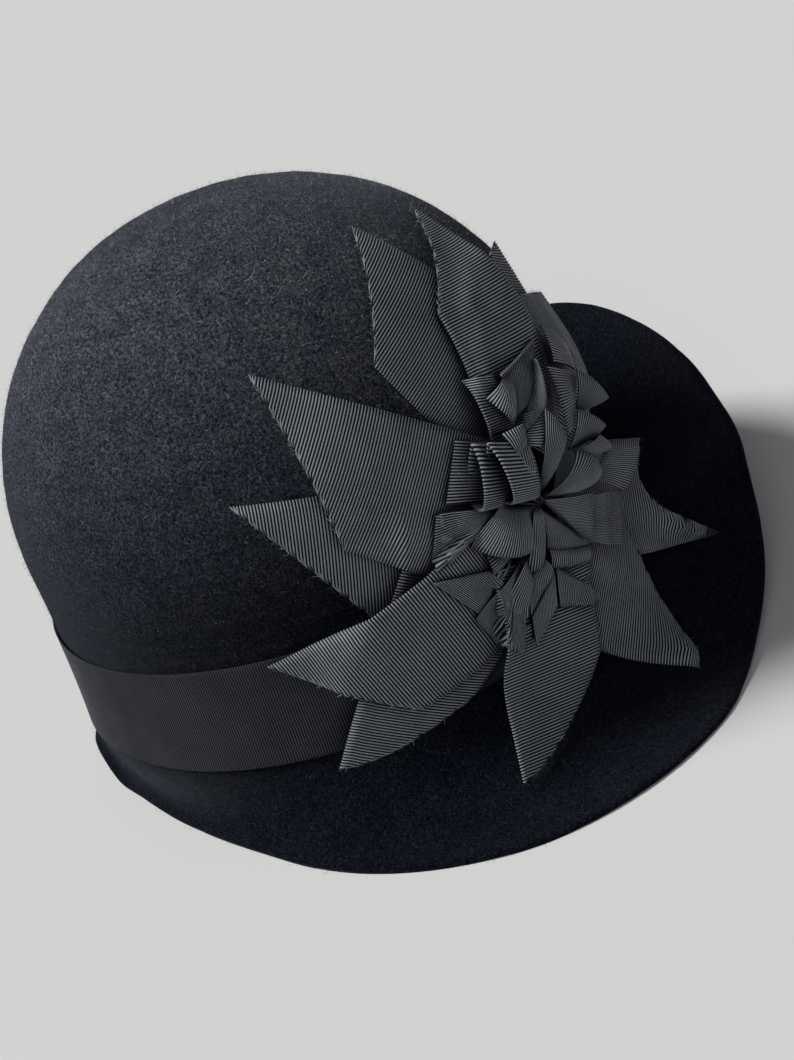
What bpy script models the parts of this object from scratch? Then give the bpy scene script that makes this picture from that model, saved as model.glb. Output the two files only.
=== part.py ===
"""A felt cloche hat with a grosgrain band and a pleated ribbon flower, standing on its brim.

Metres, +Z up, -Y the front of the hat, -X the wearer's right, where the flower sits.
"""

import math

import bmesh
import bpy
import numpy as np
from mathutils import Vector
from mathutils.bvhtree import BVHTree

# Crown: an oval dome over a short wall, measured on the outside, above the line where the brim starts
CROWN_LENGTH = 0.202
CROWN_WIDTH = 0.176
CROWN_HEIGHT = 0.1565
WALL_HEIGHT = 0.0575
WALL_TAPER = 0.034
DOME_POWER = 2.11
FELT_THICKNESS = 0.0025

# Brim: its widest flare beyond the crown, how far it dips below the crown and how far it turns up,
# how far the felt is pressed flat where it rests, the rim's width, the bend of its section in
# degrees, how long the section holds its start and end directions, and its steepest start in degrees
BRIM_FLARE = 0.050
BRIM_DROP = 0.028
BRIM_RISE = 0.046
REST_PRESS = 0.0006
RIM_WIDTH = 0.002
BRIM_BEND_DOWN = 30.0
BRIM_BEND_UP = 45.0
BRIM_PULL = 0.38
STEEPEST_START = 88.0

# Band of grosgrain ribbon round the foot of the crown
BAND_WIDTH = 0.037
BAND_HEIGHT = 0.001
BAND_THICKNESS = 0.001

# Flower: where its middle sits on the crown, and the ribbon that it is made of
FLOWER_AZIMUTH = -144.5
FLOWER_HEIGHT = 0.050
PETAL_RIBBON_WIDTH = 0.042
PETAL_REACH = 0.100
PETAL_ROOT = 0.016
PETAL_LIFT = 0.010
RIBBON_THICKNESS = 0.001
RUFFLE_REACH = 0.038
RUFFLE_RISE = 0.020
RUFFLE_WAIST = 0.0065
KNOT_WIDTH = 0.009
KNOT_RISE = 0.010

# Clear space between pieces that touch on the real hat, the allowance for flat facets on round forms,
# the most that the pieces laid on the crown stack up to, and the step by which a slope is measured
GAP = 0.0003
FACET_ALLOWANCE = 0.0004
STACK_LIMIT = 0.022
NUDGE = 0.00001

# How finely the forms are divided, and how much finer sheets feel for what lies beneath them.
# The knot's steps are those up it and round it; rounds are repeats of a step that closes in.
AZIMUTH_STEPS = 48
DOME_STEPS = 9
BRIM_STEPS = 6
PETAL_STEPS = (8, 4)
RUFFLE_STEPS_PER_PLEAT = 8
RUFFLE_STEPS_OUT = 4
KNOT_STEPS = (4, 12)
WALK_STEP = 0.004
ONTO_CROWN_ROUNDS = 4
EASING_ROUNDS = 12
FINER = 2

# Brim sections: azimuth in degrees, flare as a share of BRIM_FLARE, and height as a share of
# BRIM_RISE above the crown's foot, or below it of the drop that leaves room for the felt. Where
# the brim hangs steeply its outer face itself comes down to the rest, a little below that drop.
BRIM_SECTIONS = (
    # azimuth, flare, height
    (-180, 0.73, -1.00),
    (-171, 0.86, -1.00),
    (-158, 0.96, -1.00),
    (-144, 1.00, -1.00),
    (-137, 0.97, -0.98),
    (-130, 0.94, -0.88),
    (-123, 0.94, -0.70),
    (-117, 0.95, -0.45),
    (-112, 0.95, -0.15),
    (-107, 0.95, 0.10),
    (-101, 0.96, 0.33),
    (-93, 0.96, 0.48),
    (-85, 0.96, 0.67),
    (-74, 0.95, 0.86),
    (-62, 0.92, 1.00),
    (-50, 0.91, 0.97),
    (-40, 0.93, 0.76),
    (-30, 0.90, 0.40),
    (-20, 0.83, 0.00),
    (-10, 0.75, -0.60),
    (0, 0.65, -1.00),
    (12, 0.52, -1.03),
    (24, 0.38, -1.08),
    (38, 0.23, -1.08),
    (52, 0.11, -1.08),
    (66, 0.05, -0.86),
    (78, 0.04, -0.62),
    (88, 0.05, -0.42),
    (98, 0.06, -0.36),
    (106, 0.05, -0.66),
    (114, 0.01, -0.78),
    (124, 0.01, -0.90),
    (136, 0.06, -0.98),
    (148, 0.18, -1.00),
    (158, 0.35, -1.00),
    (168, 0.53, -1.00),
)

# Petals, from the lowest to the topmost. Bearing in degrees round the flower, 0 towards the front and
# 90 up the crown. Width, and the side shift of the strip's middle, are shares of PETAL_RIBBON_WIDTH.
# Reach is a share of PETAL_REACH along the longer selvedge and cut the share of it that the slanting
# end takes off the other one. Leave is the share of PETAL_REACH where the petal parts from the crown,
# tilt its slope from there in degrees, and arch how high its middle stands, as a share of PETAL_LIFT.
PETALS = (
    # name, bearing, width, shift, reach, cut, leave, tilt, arch
    ("petal_back_under", 165, 1.00, 0.08, 0.92, 0.42, 1.00, 0, 0.0),
    ("petal_low_back", 232, 0.87, -0.46, 0.92, 0.32, 0.60, 4, 0.2),
    ("petal_up_back", 112, 1.00, -0.48, 0.92, 0.28, 1.00, 0, 0.0),
    ("petal_far_up", 59, 0.62, 0.08, 0.86, 0.30, 0.60, 4, 0.2),
    ("petal_far_front", 42, 0.66, 0.05, 0.76, 0.30, 0.55, 6, 0.1),
    ("petal_front", -29, 0.95, 0.05, 0.92, 0.44, 0.30, 16, 0.0),
    ("petal_back", 137, 1.00, 0.16, 0.96, 0.43, 0.80, 3, 0.1),
    ("petal_up", 80, 0.70, -0.10, 1.00, 0.37, 1.00, 0, 0.2),
    ("petal_low_front", -57, 0.95, -0.18, 0.86, 0.34, 0.32, 20, 0.0),
    ("petal_back_low", 194, 0.92, 0.18, 0.93, 0.31, 0.80, 4, 0.3),
    ("petal_low", 252, 0.90, 0.04, 0.86, 0.27, 0.38, 25, 0.2),
)

# Pleated ruffles of ribbon round the knot. From and to are bearings in degrees; reach is a share of
# RUFFLE_REACH, low and high of RUFFLE_RISE, and fold is how far each pleat's crest spreads, in pleats.
RUFFLES = (
    # name, from, to, pleats, reach, low, high, fold
    ("ruffle_back", 128, 198, 4, 0.95, 0.10, 0.75, 0.08),
    ("ruffle_low", 204, 262, 3, 0.92, 0.10, 0.65, 0.07),
    ("ruffle_low_front", 268, 326, 3, 0.90, 0.05, 0.60, 0.07),
    ("ruffle_front", 332, 400, 4, 1.00, 0.05, 0.70, 0.08),
    ("ruffle_up", 46, 122, 4, 1.00, 0.05, 0.75, 0.08),
)

MATERIALS = {
    # name: (colour, roughness)
    "felt": ((0.013, 0.014, 0.018), 0.95),
    "band_ribbon": ((0.035, 0.037, 0.043), 0.70),
    "flower_ribbon": ((0.040, 0.042, 0.048), 0.70),
}


def clear_scene():
    for item in list(bpy.data.objects):
        bpy.data.objects.remove(item, do_unlink=True)


def material(name):
    found = bpy.data.materials.get(name)
    if found:
        return found
    colour, roughness = MATERIALS[name]
    made = bpy.data.materials.new(name)
    made.use_nodes = True
    shader = made.node_tree.nodes["Principled BSDF"]
    shader.inputs["Base Color"].default_value = (*colour, 1.0)
    shader.inputs["Roughness"].default_value = roughness
    shader.inputs["Metallic"].default_value = 0.0
    return made


def crown_share(height):
    """How wide the crown is at a height above its foot, as a share of its width at the foot."""
    if height <= 0:
        return 1.0
    if height <= WALL_HEIGHT:
        return 1 - WALL_TAPER * (1 - (1 - height / WALL_HEIGHT) ** 2)
    climb = min(1.0, (height - WALL_HEIGHT) / (CROWN_HEIGHT - WALL_HEIGHT))
    return (1 - WALL_TAPER) * max(NUDGE**2, 1 - climb**DOME_POWER) ** (1 / DOME_POWER)


def crown_point(azimuth, height):
    angle = math.radians(azimuth)
    share = crown_share(height)
    return np.array(
        [
            CROWN_WIDTH / 2 * share * math.cos(angle),
            CROWN_LENGTH / 2 * share * math.sin(angle),
            height,
        ]
    )


def onto_crown(point):
    """The nearby point of the crown, its wall carried on downwards, and the normal there."""
    place = point.copy()
    for _ in range(ONTO_CROWN_ROUNDS):
        share = crown_share(place[2])
        slope = (crown_share(place[2] + NUDGE) - crown_share(place[2] - NUDGE)) / (2 * NUDGE)
        square = (2 * place[0] / CROWN_WIDTH) ** 2 + (2 * place[1] / CROWN_LENGTH) ** 2
        gradient = np.array(
            [
                8 * place[0] / (CROWN_WIDTH * share) ** 2,
                8 * place[1] / (CROWN_LENGTH * share) ** 2,
                -2 * square * slope / share**3,
            ]
        )
        place = place - gradient * (square / share**2 - 1) / (gradient @ gradient)
    return place, gradient / np.linalg.norm(gradient)


def flower_frame():
    """The flower's middle on the crown, the normal, and the directions to the front and upwards."""
    place, normal = onto_crown(crown_point(FLOWER_AZIMUTH, FLOWER_HEIGHT))
    up = np.array([0.0, 0.0, 1.0])
    up -= normal * (up @ normal)
    up /= np.linalg.norm(up)
    return place, normal, np.cross(up, normal), up


FLOWER = flower_frame()


def walk(forward, upward, leave=1.0, tilt=0.0):
    """Where one comes to on the crown, going straight over it from the flower's middle.

    Past the distance named leave one goes on straight through the air, tilted outwards in degrees.
    """
    place, normal, front, up = FLOWER
    distance = math.hypot(forward, upward)
    if distance < NUDGE:
        return place, normal
    heading = (front * forward + up * upward) / distance
    on_crown = min(distance, leave)
    steps = math.ceil(on_crown / WALK_STEP)
    for _ in range(steps):
        place, normal = onto_crown(place + heading * on_crown / steps)
        heading = heading - normal * (heading @ normal)
        heading /= np.linalg.norm(heading)
    in_air = distance - on_crown
    if in_air > 0:
        angle = math.radians(tilt)
        outwards = heading * math.cos(angle) + normal * math.sin(angle)
        normal = normal * math.cos(angle) - heading * math.sin(angle)
        place = place + outwards * in_air
    return place, normal


def brim_edge(azimuth):
    """The brim's flare and height at an azimuth, on a smooth closed curve through the sections."""
    table = np.array(BRIM_SECTIONS, dtype=float)
    count = len(table)
    azimuth = (azimuth + 180) % 360 - 180
    first = int(np.searchsorted(table[:, 0], azimuth, side="right")) - 1
    rows = [table[(first + k) % count].copy() for k in (-1, 0, 1, 2)]
    for k, row in enumerate(rows):
        row[0] += 360 * ((first + k - 1) // count)
    before, start, end, after = rows
    span = end[0] - start[0]
    share = (azimuth - start[0]) / span
    slope_in = (end - before) / (end[0] - before[0]) * span
    slope_out = (after - start) / (after[0] - start[0]) * span
    value = (
        start * (2 * share**3 - 3 * share**2 + 1)
        + slope_in * (share**3 - 2 * share**2 + share)
        + end * (3 * share**2 - 2 * share**3)
        + slope_out * (share**3 - share**2)
    )
    lowest = BRIM_DROP - FELT_THICKNESS + REST_PRESS
    height = value[2] * (BRIM_RISE if value[2] > 0 else lowest)
    return value[1] * BRIM_FLARE, max(height, -BRIM_DROP)


def brim_curve(azimuth, share):
    """Flare and height of the brim's section at a share of the way from the crown to its edge."""
    flare, height = brim_edge(azimuth)
    lifted = (height + BRIM_DROP) / (BRIM_RISE + BRIM_DROP)
    chord = math.atan2(height, flare)
    bend = math.radians(BRIM_BEND_DOWN + (BRIM_BEND_UP - BRIM_BEND_DOWN) * lifted)
    leave = max(chord - bend, -math.radians(STEEPEST_START))
    arrive = min(chord + bend, math.radians(90))
    pull = BRIM_PULL * math.hypot(flare, height)
    points = np.array(
        [
            (0.0, 0.0),
            (pull * math.cos(leave), pull * math.sin(leave)),
            (flare - pull * math.cos(arrive), height - pull * math.sin(arrive)),
            (flare, height),
        ]
    )
    rest = 1 - share
    weights = (rest**3, 3 * rest**2 * share, 3 * rest * share**2, share**3)
    return sum(weight * point for weight, point in zip(weights, points))


def brim_point(azimuth, share):
    flare, height = brim_curve(azimuth, share)
    base = crown_point(azimuth, 0.0)
    outward = np.array([base[0], base[1], 0.0])
    outward /= np.linalg.norm(outward)
    return base + outward * flare + np.array([0.0, 0.0, height])


def rim_share(azimuth):
    """The part of the brim's section that its rim takes up."""
    return RIM_WIDTH / math.hypot(*brim_edge(azimuth))


def wall_levels():
    """Heights of the rows on the crown's wall, from its top to its foot, with the band's edges."""
    band_top = BAND_HEIGHT + BAND_WIDTH
    return [WALL_HEIGHT, band_top, BAND_HEIGHT + BAND_WIDTH / 2, BAND_HEIGHT, 0.0]


def azimuths():
    return [-180 + 360 * k / AZIMUTH_STEPS for k in range(AZIMUTH_STEPS)]


def felt_rows():
    """Rows of points on the felt's outer face, from just off the crown's top to the brim's edge."""
    rows = []
    for k in range(1, DOME_STEPS):
        turn = math.radians(90 * k / DOME_STEPS)
        height = WALL_HEIGHT + (CROWN_HEIGHT - WALL_HEIGHT) * math.cos(turn) ** (2 / DOME_POWER)
        rows.append([crown_point(a, height) for a in azimuths()])
    for height in wall_levels():
        rows.append([crown_point(a, height) for a in azimuths()])
    for k in range(1, BRIM_STEPS + 1):
        rows.append([brim_point(a, k / BRIM_STEPS * (1 - rim_share(a))) for a in azimuths()])
    rows.append([brim_point(a, 1.0) for a in azimuths()])
    return np.array(rows)


def grid_normals(grid, closed):
    """Unit normals of a grid of points whose second direction may run round in a ring."""
    down = np.gradient(grid, axis=0)
    if closed:
        along = np.roll(grid, -1, axis=1) - np.roll(grid, 1, axis=1)
    else:
        along = np.gradient(grid, axis=1)
    normals = np.cross(down, along)
    return normals / np.linalg.norm(normals, axis=2, keepdims=True)


def solid(name, vertices, faces, material_name):
    """One closed body, its faces turned outwards, made of flat triangles."""
    mesh = bpy.data.meshes.new(name)
    bm = bmesh.new()
    made = [bm.verts.new(v) for v in vertices]
    for face in faces:
        bm.faces.new([made[k] for k in face])
    bmesh.ops.recalc_face_normals(bm, faces=bm.faces)
    bmesh.ops.triangulate(bm, faces=bm.faces)
    bm.to_mesh(mesh)
    bm.free()
    mesh.shade_smooth()
    item = bpy.data.objects.new(name, mesh)
    item.data.materials.append(material(material_name))
    bpy.context.scene.collection.objects.link(item)
    return item


def wall_faces(rows, columns, closed):
    """Faces of the body between an over grid and an under grid, numbered over first."""
    faces = []
    under = rows * columns
    last = columns if closed else columns - 1
    for i in range(rows - 1):
        for j in range(last):
            k = (j + 1) % columns
            quad = (i * columns + j, i * columns + k, (i + 1) * columns + k, (i + 1) * columns + j)
            faces.append(quad)
            faces.append(tuple(under + q for q in reversed(quad)))
    return faces


def edge_faces(rows, columns, closed):
    """Faces that close the rims of such a body."""
    under = rows * columns
    faces = []
    last = columns if closed else columns - 1
    for row in (0, rows - 1):
        for j in range(last):
            k = (j + 1) % columns
            a, b = row * columns + j, row * columns + k
            faces.append((a, b, under + b, under + a))
    if not closed:
        for column in (0, columns - 1):
            for i in range(rows - 1):
                a, b = i * columns + column, (i + 1) * columns + column
                faces.append((a, b, under + b, under + a))
    return faces


def sheet_solid(name, over, under, material_name, closed=False):
    rows, columns = over.shape[:2]
    vertices = np.concatenate([over.reshape(-1, 3), under.reshape(-1, 3)])
    faces = wall_faces(rows, columns, closed) + edge_faces(rows, columns, closed)
    return solid(name, vertices, faces, material_name)


def felt_body():
    """Crown and brim in one piece of felt, pressed flat where the brim's edge rests."""
    over = felt_rows()
    rows, columns = over.shape[:2]
    normals = grid_normals(over, closed=True)
    if normals[0, 0] @ over[0, 0] < 0:
        normals = -normals
    under = over - normals * FELT_THICKNESS
    vertices = np.concatenate([over.reshape(-1, 3), under.reshape(-1, 3)])
    vertices[:, 2] = np.maximum(vertices[:, 2], -BRIM_DROP)
    tops = [(0.0, 0.0, CROWN_HEIGHT), (0.0, 0.0, CROWN_HEIGHT - FELT_THICKNESS)]
    vertices = np.concatenate([vertices, np.array(tops)])
    faces = wall_faces(rows, columns, True)
    half = rows * columns
    faces += [f for f in edge_faces(rows, columns, True) if min(f) >= (rows - 1) * columns]
    for j in range(columns):
        k = (j + 1) % columns
        faces.append((2 * half, j, k))
        faces.append((2 * half + 1, half + k, half + j))
    return solid("felt_body", vertices, faces, "felt")


def hat_band():
    """A loop of ribbon against the crown's wall, its rows level with those of the felt."""
    levels = [h for h in wall_levels() if BAND_HEIGHT <= h <= BAND_HEIGHT + BAND_WIDTH]
    grid = np.array([[crown_point(a, h) for a in azimuths()] for h in levels])
    normals = np.array([[onto_crown(p)[1] for p in row] for row in grid])
    under = grid + normals * GAP
    over = under + normals * BAND_THICKNESS
    return sheet_solid("hat_band", over, under, "band_ribbon", closed=True)


def tree_of(item):
    mesh = item.data
    corners = [Vector(v.co) for v in mesh.vertices]
    return BVHTree.FromPolygons(corners, [tuple(p.vertices) for p in mesh.polygons])


def height_of_stack(place, normal, trees):
    """How high the pieces laid so far stand over a point of the crown, along its normal."""
    start = Vector(place + normal * STACK_LIMIT)
    top = 0.0
    for tree in trees:
        hit = tree.ray_cast(start, Vector(-normal), STACK_LIMIT)
        if hit[0] is not None:
            top = max(top, STACK_LIMIT - hit[3])
    return top


def widened(values):
    """Each value of a grid raised to the largest beside it."""
    padded = np.pad(values, 1, mode="edge")
    rows, columns = values.shape
    shifted = [padded[i : i + rows, j : j + columns] for i in range(3) for j in range(3)]
    return np.max(shifted, axis=0)


def eased(needed, wanted):
    """A smooth sheet of heights that nowhere sinks below what is needed."""
    heights = np.maximum(needed, wanted)
    for _ in range(EASING_ROUNDS):
        padded = np.pad(heights, 1, mode="reflect", reflect_type="odd")
        mean = (padded[:-2, 1:-1] + padded[2:, 1:-1] + padded[1:-1, :-2] + padded[1:-1, 2:]) / 4
        heights = np.maximum(needed, np.maximum(wanted, 0.5 * (heights + mean)))
    return heights


def laid(flat, wanted, trees, leave=1.0, tilt=0.0):
    """Points over a flat layout of a sheet, carried on the crown and all that lies on it."""
    rows, columns = wanted.shape
    places = np.zeros((rows, columns, 3))
    normals = np.zeros((rows, columns, 3))
    stack = np.zeros((rows, columns))
    for i in range(rows):
        for j in range(columns):
            places[i, j], normals[i, j] = walk(*flat[i, j], leave, tilt)
            stack[i, j] = height_of_stack(places[i, j], normals[i, j], trees)
    for _ in range(FINER):
        stack = widened(stack)
    needed = stack + GAP + FACET_ALLOWANCE
    heights = eased(needed, stack + wanted)
    points = places + normals * heights[:, :, None]
    return points[::FINER, ::FINER], normals[::FINER, ::FINER]


def petal(row, trees):
    """A strip of ribbon from under the ruffles outwards, its free end cut on the slant."""
    name, bearing, width, shift, reach, cut, leave, tilt, arch = row
    angle = math.radians(bearing)
    along = np.array([math.cos(angle), math.sin(angle)])
    across = np.array([-math.sin(angle), math.cos(angle)])
    steps_long, steps_wide = (steps * FINER for steps in PETAL_STEPS)
    flat = np.zeros((steps_long + 1, steps_wide + 1, 2))
    wanted = np.zeros((steps_long + 1, steps_wide + 1))
    for j in range(steps_wide + 1):
        sideways = j / steps_wide - 0.5
        from_long = 0.5 + sideways
        length = PETAL_REACH * reach * (1 - cut * from_long) - PETAL_ROOT
        for i in range(steps_long + 1):
            out = i / steps_long
            flat[i, j] = along * (PETAL_ROOT + length * out)
            flat[i, j] += across * PETAL_RIBBON_WIDTH * (sideways * width + shift)
            wanted[i, j] = PETAL_LIFT * arch * math.sin(math.pi * out)
    under, normals = laid(flat, wanted, trees, PETAL_REACH * leave, tilt)
    facing = grid_normals(under, closed=False)
    if np.sum(facing * normals) < 0:
        facing = -facing
    return sheet_solid(name, under + facing * RIBBON_THICKNESS, under, "flower_ribbon")


def ruffle(row, trees):
    """Pleated ribbon: narrow where it is gathered at the knot, in deep folds at its outer selvedge."""
    name, start, end, pleats, reach, low, high, fold = row
    steps_per_pleat = RUFFLE_STEPS_PER_PLEAT * FINER
    steps = pleats * steps_per_pleat
    steps_out = RUFFLE_STEPS_OUT * FINER
    flat = np.zeros((steps_out + 1, steps + 1, 2))
    wanted = np.zeros((steps_out + 1, steps + 1))
    for i in range(steps_out + 1):
        out = i / steps_out
        distance = RUFFLE_WAIST + (RUFFLE_REACH * reach - RUFFLE_WAIST) * out
        depth = (distance / (RUFFLE_REACH * reach)) ** 2
        for j in range(steps + 1):
            turn = 2 * math.pi * j / steps_per_pleat
            pleat = j / steps_per_pleat + fold * math.sin(2 * turn) * depth
            bearing = math.radians(start + (end - start) * pleat / pleats)
            flat[i, j] = distance * math.cos(bearing), distance * math.sin(bearing)
            crest = (1 - math.cos(turn)) / 2
            wanted[i, j] = RUFFLE_RISE * (low * math.sqrt(out) + (high - low) * crest * depth)
    under, normals = laid(flat, wanted, trees)
    under = under + normals * RIBBON_THICKNESS / 2
    half = grid_normals(under, closed=False) * RIBBON_THICKNESS / 2
    return sheet_solid(name, under + half, under - half, "flower_ribbon")


def knot(trees):
    """The small lump of gathered ribbon at the flower's middle."""
    place, normal, front, up = FLOWER
    turns = np.linspace(0, 2 * math.pi, KNOT_STEPS[1], endpoint=False)
    spots = [(KNOT_WIDTH / 2 * math.cos(t), KNOT_WIDTH / 2 * math.sin(t)) for t in turns]
    stack = max(height_of_stack(*walk(*spot), trees) for spot in [(0.0, 0.0), *spots])
    foot = place + normal * (stack + GAP + FACET_ALLOWANCE)
    rings, sides = KNOT_STEPS
    vertices = []
    for ring in range(rings):
        climb = math.radians(90 * ring / rings)
        radius = KNOT_WIDTH / 2 * math.cos(climb)
        height = KNOT_RISE * math.sin(climb)
        for side in range(sides):
            turn = 2 * math.pi * side / sides
            spoke = front * math.cos(turn) + up * math.sin(turn)
            vertices.append(foot + spoke * radius + normal * height)
    vertices.append(foot + normal * KNOT_RISE)
    faces = [tuple(reversed(range(sides)))]
    for ring in range(rings - 1):
        for side in range(sides):
            a, b = ring * sides + side, ring * sides + (side + 1) % sides
            faces.append((a, b, b + sides, a + sides))
    for side in range(sides):
        last = (rings - 1) * sides
        faces.append((last + side, last + (side + 1) % sides, len(vertices) - 1))
    return solid("knot", vertices, faces, "flower_ribbon")


def stand_on_origin(pieces):
    """Hangs every piece on one empty, moved so that the hat's box stands centred on the origin."""
    corners = np.array([v.co for item in pieces for v in item.data.vertices])
    low, high = corners.min(axis=0), corners.max(axis=0)
    hat = bpy.data.objects.new("hat", None)
    bpy.context.scene.collection.objects.link(hat)
    hat.location = (-(low[0] + high[0]) / 2, -(low[1] + high[1]) / 2, -low[2])
    for item in pieces:
        item.parent = hat


def main():
    clear_scene()
    pieces = [felt_body(), hat_band()]
    trees = [tree_of(item) for item in pieces]
    for row in PETALS:
        pieces.append(petal(row, trees))
        trees.append(tree_of(pieces[-1]))
    under_ruffles = list(trees)
    for row in RUFFLES:
        pieces.append(ruffle(row, under_ruffles))
    pieces.append(knot(under_ruffles))
    stand_on_origin(pieces)


main()
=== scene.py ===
"""Looks of a felt cloche hat with a grosgrain band and a flower of gathered ribbon.

Metres, +Z up, -Y the front of the hat, -X the wearer's right, where the flower sits. The hat's own
coordinates, used by all the shape functions, have the crown's axis at x = y = 0 and its foot at
z = 0.
"""

import math

import bmesh
import bpy
import numpy as np
from mathutils import Matrix, Vector, noise
from mathutils.bvhtree import BVHTree


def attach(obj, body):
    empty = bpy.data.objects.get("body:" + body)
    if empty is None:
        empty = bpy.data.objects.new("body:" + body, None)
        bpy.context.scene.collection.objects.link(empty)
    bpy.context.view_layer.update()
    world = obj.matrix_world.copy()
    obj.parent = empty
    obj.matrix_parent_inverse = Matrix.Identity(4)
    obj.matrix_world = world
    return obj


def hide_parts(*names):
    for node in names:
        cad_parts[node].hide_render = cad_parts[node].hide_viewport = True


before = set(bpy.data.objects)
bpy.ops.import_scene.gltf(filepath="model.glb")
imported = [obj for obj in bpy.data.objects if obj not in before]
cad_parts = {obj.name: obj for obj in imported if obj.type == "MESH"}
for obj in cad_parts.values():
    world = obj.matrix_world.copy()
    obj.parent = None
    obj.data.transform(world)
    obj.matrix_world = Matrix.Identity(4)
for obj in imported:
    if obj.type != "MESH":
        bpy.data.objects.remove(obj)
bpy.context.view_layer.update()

# Crown, as in the solids
CROWN_LENGTH = 0.202
CROWN_WIDTH = 0.176
CROWN_HEIGHT = 0.1565
WALL_HEIGHT = 0.0575
WALL_TAPER = 0.034
DOME_POWER = 2.11
FELT_THICKNESS = 0.0025

# Brim, as in the solids
BRIM_FLARE = 0.050
BRIM_DROP = 0.028
BRIM_RISE = 0.046
REST_PRESS = 0.0006
BRIM_BEND_DOWN = 30.0
BRIM_BEND_UP = 45.0
BRIM_PULL = 0.38
STEEPEST_START = 88.0

# Band
BAND_WIDTH = 0.037
BAND_HEIGHT = 0.001

# Flower, as in the solids, with the ribbon at its real thickness
FLOWER_AZIMUTH = -144.5
FLOWER_HEIGHT = 0.050
PETAL_RIBBON_WIDTH = 0.042
PETAL_REACH = 0.100
PETAL_ROOT = 0.016
PETAL_LIFT = 0.010
RIBBON_THICKNESS = 0.0005
KNOT_WIDTH = 0.009
KNOT_RISE = 0.010

# How the cloth is laid: the air between two layers, the room for the facets of what lies beneath,
# the highest stack that is felt for, a step too small to matter, and how near points are welded
GAP = 0.0003
FACET_ALLOWANCE = 0.0004
STACK_LIMIT = 0.022
NUDGE = 0.00001
WELD_DISTANCE = NUDGE / 10

# Ribs of the grosgrain: their pitch, how far they stand out, how far they scallop the selvedge
RIB_PITCH = 0.00095
BAND_RIB_PITCH = 0.00084
RIB_DEPTH = 0.00024
RIB_SCALLOP = 0.00032
SAMPLES_PER_RIB = 4

# How far off the cloth beside it still paints shade into a fold's hollow
PAINTED_SHADE_REACH = 0.009
PAINTED_SHADE_SAMPLES = 6

# The felt's soft waves and small lumps: how high they stand and how many there are to a metre
FELT_WAVES = ((0.0005, 28), (0.00022, 160))

# Loose fibres of the felt: the least and most of their length and of their lean, as shares, and how
# far they sweep along the felt where they don't lean
FIBRE_SEED = 7
FIBRE_COUNT = 150000
FIBRE_LENGTH = 0.0032
FIBRE_WIDTH = 0.00007
FIBRE_SHARES = (0.2, 1.0)
FIBRE_LEANS = (0.1, 1.0)
FIBRE_SWEEP = 1.1

# Threads that fray from the petals' cut ends: how many for each petal, the least and most of their
# length as shares, how far their ways scatter, and how far inwards the cloth's way is felt
THREAD_SEED = 11
THREAD_COUNT = 130
THREAD_LENGTH = 0.0016
THREAD_WIDTH = 0.00012
THREAD_SHARES = (0.1, 1.0)
THREAD_SCATTER = 0.5
THREAD_INWARDS = 0.2

# How finely the forms are divided, and the step over a grid in which its slope is felt
FELT_AZIMUTHS = 288
FELT_ROWS = {"dome": 36, "wall": 10, "brim": 26, "edge": 5}
BAND_SHARES = (0.0, 0.03, 0.25, 0.5, 0.75, 0.97, 1.0)
PETAL_CELLS = (16, 8)
PETAL_FINE_COLUMNS = 17
FOLD_CELLS = 12
FOLD_CELLS_OUT = 4
FOLD_FINE_ROWS = 9
KNOT_RINGS = 10
KNOT_SIDES = 96
WALK_STEP = 0.004
ONTO_CROWN_ROUNDS = 4
EASING_ROUNDS = 12
GRID_STEP = 0.05

MILLIMETRES = 1000

BRIM_SECTIONS = (
    # azimuth, flare, height
    (-180, 0.73, -1.00),
    (-171, 0.86, -1.00),
    (-158, 0.96, -1.00),
    (-144, 1.00, -1.00),
    (-137, 0.97, -0.98),
    (-130, 0.94, -0.88),
    (-123, 0.94, -0.70),
    (-117, 0.95, -0.45),
    (-112, 0.95, -0.15),
    (-107, 0.95, 0.10),
    (-101, 0.96, 0.33),
    (-93, 0.96, 0.48),
    (-85, 0.96, 0.67),
    (-74, 0.95, 0.86),
    (-62, 0.92, 1.00),
    (-50, 0.91, 0.97),
    (-40, 0.93, 0.76),
    (-30, 0.90, 0.40),
    (-20, 0.83, 0.00),
    (-10, 0.75, -0.60),
    (0, 0.65, -1.00),
    (12, 0.52, -1.03),
    (24, 0.38, -1.08),
    (38, 0.23, -1.08),
    (52, 0.11, -1.08),
    (66, 0.05, -0.86),
    (78, 0.04, -0.62),
    (88, 0.05, -0.42),
    (98, 0.06, -0.36),
    (106, 0.05, -0.66),
    (114, 0.01, -0.78),
    (124, 0.01, -0.90),
    (136, 0.06, -0.98),
    (148, 0.18, -1.00),
    (158, 0.35, -1.00),
    (168, 0.53, -1.00),
)

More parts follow.
